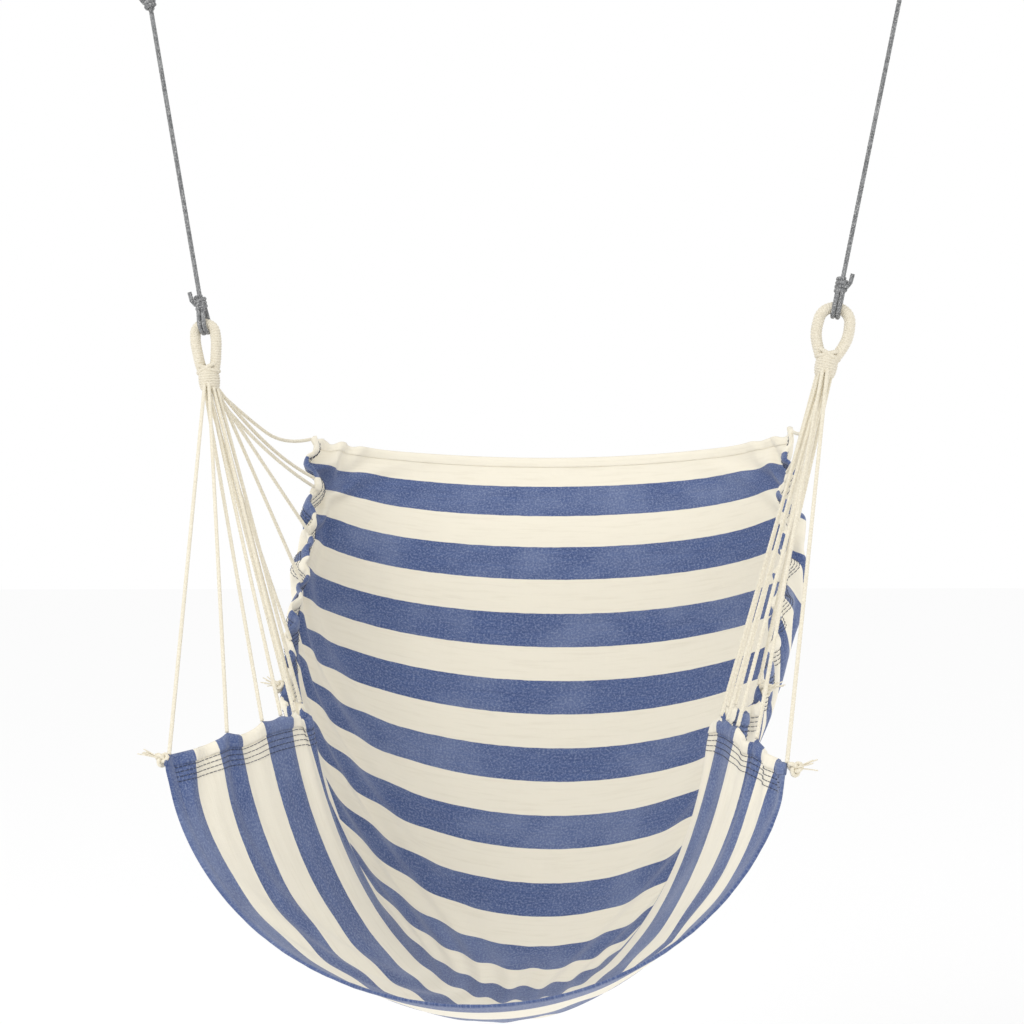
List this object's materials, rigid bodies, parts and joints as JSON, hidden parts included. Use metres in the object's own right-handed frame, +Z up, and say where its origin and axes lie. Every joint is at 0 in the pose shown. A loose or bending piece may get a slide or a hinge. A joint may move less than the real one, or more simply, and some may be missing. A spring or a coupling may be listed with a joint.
{
  "type": "hammock chair",
  "caption": "Hanging hammock chair: a striped cotton cloth seat slung on fans of cotton strings from served eyes, on braided ropes and screw hooks.",
  "frame": {"origin": "foot of the left screw hook's shank, at the collar's upper face", "axes": "+Z up along the shanks, +X towards the right hook as seen by someone facing the seat, the sitter faces -Y"},
  "size_m": [1.065, 0.8581, 1.4636],
  "materials": {
    "striped_cloth": "woven cotton in cream and heathered blue stripes",
    "blue_hem": "heathered blue woven cotton",
    "cream_hem": "cream woven cotton",
    "serving_cord": "fine cotton cord wound round",
    "cotton_string": "twisted cotton",
    "grey_rope": "braided, mid grey with flecks",
    "hook_steel": "zinc plated"
  },
  "bodies": {
    "root": {"left_hook": "hook_steel", "right_hook": "hook_steel"},
    "ropes": {"left_hitch_knot": "grey_rope", "left_hitch_loop_inner": "grey_rope", "left_hitch_loop_outer": "grey_rope", "left_hook_knot": "grey_rope", "left_hook_loop": "grey_rope", "left_rope": "grey_rope", "right_hitch_knot": "grey_rope", "right_hitch_loop_inner": "grey_rope", "right_hitch_loop_outer": "grey_rope", "right_hook_knot": "grey_rope", "right_hook_loop": "grey_rope", "right_rope": "grey_rope"},
    "chair": {"back_hem": "cream_hem", "front_hem": "blue_hem", "left_drawcord": "cotton_string", "left_eye_core": "cotton_string", "left_eye_serving": "serving_cord", "left_neck_whipping": "serving_cord", "left_side_hem": "striped_cloth", "left_stop_knots": "cotton_string", "left_string_01": "cotton_string", "left_string_02": "cotton_string", "left_string_03": "cotton_string", "left_string_04": "cotton_string", "left_string_05": "cotton_string", "left_string_06": "cotton_string", "left_string_07": "cotton_string", "left_string_08": "cotton_string", "left_string_09": "cotton_string", "left_string_10": "cotton_string", "left_string_11": "cotton_string", "left_string_12": "cotton_string", "left_string_13": "cotton_string", "left_string_14": "cotton_string", "right_drawcord": "cotton_string", "right_eye_core": "cotton_string", "right_eye_serving": "serving_cord", "right_neck_whipping": "serving_cord", "right_side_hem": "striped_cloth", "right_stop_knots": "cotton_string", "right_string_01": "cotton_string", "right_string_02": "cotton_string", "right_string_03": "cotton_string", "right_string_04": "cotton_string", "right_string_05": "cotton_string", "right_string_06": "cotton_string", "right_string_07": "cotton_string", "right_string_08": "cotton_string", "right_string_09": "cotton_string", "right_string_10": "cotton_string", "right_string_11": "cotton_string", "right_string_12": "cotton_string", "right_string_13": "cotton_string", "right_string_14": "cotton_string", "striped_cloth": "striped_cloth"}
  },
  "joints": [
    {"name": "swing", "type": "hinge", "parent": "root", "child": "ropes", "pos_m": [0.515, 0, -0.061], "axis": [1, 0, 0], "range_deg": [-30, 30]},
    {"name": "tilt", "type": "hinge", "parent": "ropes", "child": "chair", "pos_m": [0.515, 0, -0.54], "axis": [1, 0, 0], "range_deg": [-15, 15]}
  ]
}
